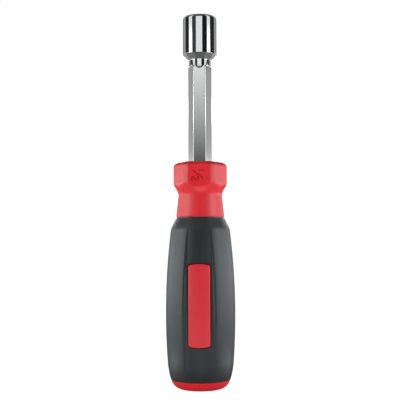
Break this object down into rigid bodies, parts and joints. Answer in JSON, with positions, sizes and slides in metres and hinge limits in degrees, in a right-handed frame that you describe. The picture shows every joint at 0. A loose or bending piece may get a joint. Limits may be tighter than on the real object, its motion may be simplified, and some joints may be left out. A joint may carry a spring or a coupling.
{
  "type": "nut driver",
  "caption": "Hand nut driver: round socket with a hexagon recess on a hollow hexagon shaft, hexagon bolster and a lobed soft-grip handle with a badge and an end cap.",
  "frame": {"origin": "on the tool's axis at the flat butt, where the rod bore opens", "axes": "+Z along the tool's axis from the butt to the socket, -Y towards the badge and the front flat of the bolster"},
  "size_m": [0.0364, 0.0356, 0.196],
  "materials": {
    "chrome_steel": "bright chrome plate, mirror on the socket and satin on the hexagon",
    "core_plastic": "as moulded, hidden",
    "red_plastic": "moulded, semi-gloss",
    "badge_plastic": "moulded, semi-gloss",
    "soft_grip": "fine matt texture"
  },
  "bodies": {
    "root": {"driver_shaft": "chrome_steel", "handle_core": "core_plastic", "front_collar": "red_plastic", "grip_sleeve": "soft_grip", "badge_plate": "badge_plastic", "end_cap": "red_plastic"}
  },
  "joints": []
}
